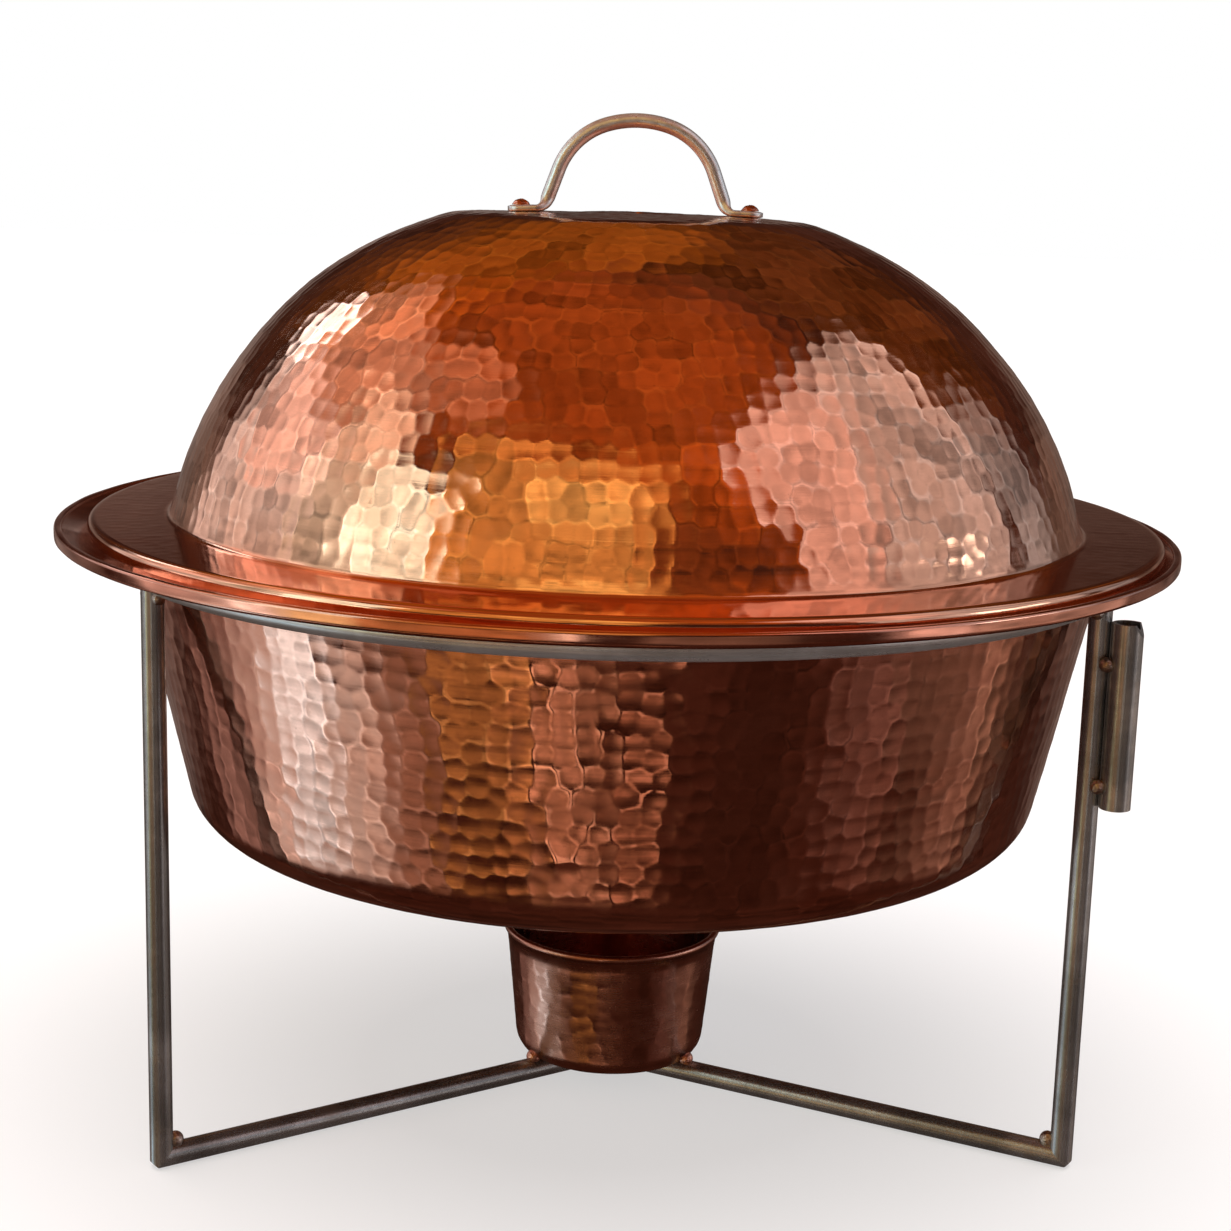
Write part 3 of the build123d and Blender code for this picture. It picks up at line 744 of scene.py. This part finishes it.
# --- everything that keeps its CAD shape -----------------------------------------------------------
def dress_frame():
    dress("stand_ring", ring_steel_painted_lighter())
    for side in ("left", "right", "back"):
        low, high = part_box(f"base_bar_{side}")
        heading = math.atan2(*((low[k] + high[k]) / 2 for k in (1, 0)))
        dress(f"leg_{side}", LEG_STEEL)
        grain = (22, 1500, 1500)
        along_bar = brushed(f"steel_bar_{side}", STEEL_LIGHT, STEEL_DARK, 0.20, 0.34, grain, heading)
        dress(f"base_bar_{side}", along_bar)
    for node in ("foot_welds", "ring_welds", "hub_welds", "sleeve_welds"):
        dress(node, WELD_PAINTED_SHEEN)
    dress("cup_brazes", BRAZE)
    dress("accessory_sleeve", SLEEVE_STEEL)
    dress("rivet_burrs", BURR_COPPER)
    dress("food_pan", STAINLESS)


# --- floor, light and camera -----------------------------------------------------------------------
def heading_vector(azimuth, elevation):
    """Unit vector towards a place seen from the dish: azimuth from the front, positive to its right."""
    az, el = math.radians(azimuth), math.radians(elevation)
    return Vector((math.sin(az) * math.cos(el), -math.cos(az) * math.cos(el), math.sin(el)))


# Soft panels all round: azimuth, elevation, width, height and edge softness in degrees, then colour.
PANELS = [
    (-61, 18, 22, 36, 2.0, (1.30, 1.75, 1.75)),  # large window on the left
    (-82, 24, 20, 44, 5.0, (0.50, 0.54, 0.50)),  # its dimmer half
    (-111, 16, 42, 34, 6.0, (0.60, 0.64, 0.70)),  # lit wall beyond it
    (-108, 44, 50, 20, 6.0, (0.34, 0.28, 0.24)),  # the wall over both
    (-74, 58, 24, 14, 5.0, (0.22, 0.15, 0.11)),
    (-137, 30, 9, 11, 2.0, (2.2, 2.6, 3.0)),  # small far window
    (78, 31, 60, 58, 2.0, (0.45, 0.49, 0.56)),  # window on the right
    (84, 8, 20, 9, 1.0, (1.7, 1.9, 2.0)),  # its sill
    (121, 14, 16, 30, 4.0, (0.22, 0.28, 0.34)),  # a dimmer window on the right
    (-22, 30, 52, 42, 1.5, (0.54, 0.30, 0.08)),  # warm front wall
    (-12, 38, 25, 16, 2.0, (0.28, 0.26, 0.10)),  # lamp-lit part of it
    (18, 38, 28, 36, 3.0, (0.12, 0.03, 0.003)),  # its shaded end
    (-30, 78, 150, 60, 30.0, (0.24, 0.055, 0.002)),  # warm ceiling
    (-155, 48, 50, 30, 12.0, (0.15, 0.05, 0.0)),  # its far corners
    (170, 45, 90, 40, 15.0, (0.06, 0.02, 0.0)),
    (-92, -9, 26, 22, 4.0, (0.62, 0.56, 0.56)),  # pale floor and furniture, low all round
    (-73, -9, 10, 22, 2.0, (1.9, 2.1, 2.2)),
    (-59, -9, 15, 22, 2.0, (1.00, 0.94, 0.52)),
    (-32, -9, 38, 22, 2.0, (0.46, 0.24, 0.10)),
    (-9, -9, 5, 18, 1.0, (1.2, 1.15, 1.05)),
    (20, -9, 30, 22, 3.0, (0.13, 0.10, 0.08)),
    (64, -9, 14, 20, 2.0, (1.0, 0.9, 0.9)),
    (95, -10, 44, 20, 4.0, (0.40, 0.34, 0.31)),
    (150, -6, 60, 28, 9.0, (0.09, 0.08, 0.07)),
    (-150, -6, 60, 28, 9.0, (0.13, 0.12, 0.11)),
    (-93, -28, 24, 22, 5.0, (0.60, 0.62, 0.62)),  # left window on the floor
    (-86, -30, 14, 12, 3.0, (0.45, 0.90, 1.20)),
    (-72, -36, 14, 10, 4.0, (0.55, 0.60, 0.60)),
    (-115, -27, 20, 12, 6.0, (0.20, 0.16, 0.15)),
    (-57, -37, 14, 10, 4.0, (0.24, 0.18, 0.14)),
    (-35, -37, 18, 6, 1.0, (0.55, 0.36, 0.13)),  # warm light on the floor in front
    (-26, -40, 6, 5, 1.0, (0.45, 0.28, 0.13)),
    (-17, -41, 3, 8, 0.8, (0.80, 0.54, 0.36)),
    (-11, -41, 3, 9, 0.8, (0.80, 0.54, 0.38)),
    (-4, -42, 3, 7, 0.8, (0.50, 0.34, 0.24)),
    (8, -42.5, 8, 4, 1.0, (0.46, 0.27, 0.18)),
    (68, -34, 16, 8, 5.0, (0.14, 0.09, 0.08)),  # right window on the floor
    (92, -28, 30, 12, 6.0, (0.15, 0.11, 0.09)),
    (110, -26, 10, 8, 3.0, (0.10, 0.08, 0.06)),
]
AMBIENT = (0.045, 0.018, 0.012)


def build_world():
    """White to the camera; to the metal, a dim warm room with soft windows."""
    world = bpy.data.worlds.new("studio")
    bpy.context.scene.world = world
    tree = Tree(world)
    ray = tree.add("ShaderNodeTexCoord").outputs["Generated"]
    total = rgb(*AMBIENT)
    for azimuth, elevation, width, height, edge, colour in PANELS:
        ahead = heading_vector(azimuth, elevation)
        across = Vector((math.cos(math.radians(azimuth)), math.sin(math.radians(azimuth)), 0))
        up = across.cross(-ahead)
        depth = tree.vector("DOT_PRODUCT", ray, ahead[:])
        in_front = tree.math("GREATER_THAN", depth, 0.02)
        mask = in_front
        for axis, size in ((across, width), (up, height)):
            sideways = tree.vector("DOT_PRODUCT", ray, axis[:])
            offset = tree.math("DIVIDE", sideways, tree.math("MAXIMUM", depth, 0.02))
            half = math.tan(math.radians(size / 2))
            soft = math.tan(math.radians(edge))
            inside = tree.ramp(tree.math("ABSOLUTE", offset), half - soft / 2, half + soft / 2, 1.0, 0.0)
            mask = tree.math("MULTIPLY", mask, inside)
        glow = tree.mix(mask, rgb(0, 0, 0), rgb(*colour))
        total = tree.mix(1.0, total, glow, "ADD")
    clutter = tree.ramp(tree.noise(ray, 7.0, 4.0, 0.6), 0.36, 0.64, 0.45, 1.55, smooth=False)
    total = tree.vector("MULTIPLY", total, tree.combine(clutter, clutter, clutter))
    background = tree.nodes["Background"]
    seen = tree.add("ShaderNodeLightPath").outputs["Is Camera Ray"]
    tree.links.new(tree.mix(seen, total, rgb(1, 1, 1)), background.inputs["Color"])


def build_floor():
    """A plain pale floor, lit by a large overhead panel and partly by its own glow, which keeps the
    shadow faint. The metal doesn't mirror either of them."""
    half = 12.0
    mesh = bpy.data.meshes.new("floor")
    corners = [(-half, -half, 0), (half, -half, 0), (half, half, 0), (-half, half, 0)]
    mesh.from_pydata(corners, [], [(0, 1, 2, 3)])
    material = bpy.data.materials.new("pale_floor")
    tree = Tree(material)
    shader = tree.nodes["Principled BSDF"]
    speckle = tree.noise(tree.object_place(), 6.0, 2.0)
    pale = tree.mix(speckle, rgb(0.40, 0.405, 0.41), rgb(0.42, 0.42, 0.42))
    tree.links.new(pale, shader.inputs["Base Color"])
    shader.inputs["Emission Color"].default_value = rgb(1.0, 1.0, 1.0)
    shader.inputs["Emission Strength"].default_value = 0.56
    shader.inputs["Roughness"].default_value = 0.9
    shader.inputs["Specular IOR Level"].default_value = 0.0
    mesh.materials.append(material)
    floor = bpy.data.objects.new("floor", mesh)
    floor.visible_glossy = False
    bpy.context.scene.collection.objects.link(floor)
    panel = bpy.data.lights.new("overhead", "SUN")
    panel.energy = 3.2
    panel.angle = math.radians(60)
    lamp = bpy.data.objects.new("overhead", panel)
    lamp.visible_glossy = False
    bpy.context.scene.collection.objects.link(lamp)


CAMERA_PLACE = (0.0, -0.99446, 0.42870)
CAMERA_PITCH = math.radians(11.625)
CAMERA_ROLL = math.radians(1.618)
CAMERA_LENS = 62.92


def build_camera():
    camera = bpy.data.cameras.new("camera")
    camera.sensor_width = 36.0
    camera.lens = CAMERA_LENS
    camera.clip_start = 0.01
    holder = bpy.data.objects.new("camera", camera)
    look = Matrix.Rotation(math.pi / 2 - CAMERA_PITCH, 4, "X") @ Matrix.Rotation(CAMERA_ROLL, 4, "Z")
    holder.matrix_world = Matrix.Translation(CAMERA_PLACE) @ look
    bpy.context.scene.collection.objects.link(holder)
    bpy.context.scene.camera = holder


build_camera()
build_world()
build_floor()
build_copper()
build_handle()
build_rivets()
dress_frame()

scene = bpy.context.scene
scene.view_settings.view_transform = "Standard"

bpy.context.view_layer.update()
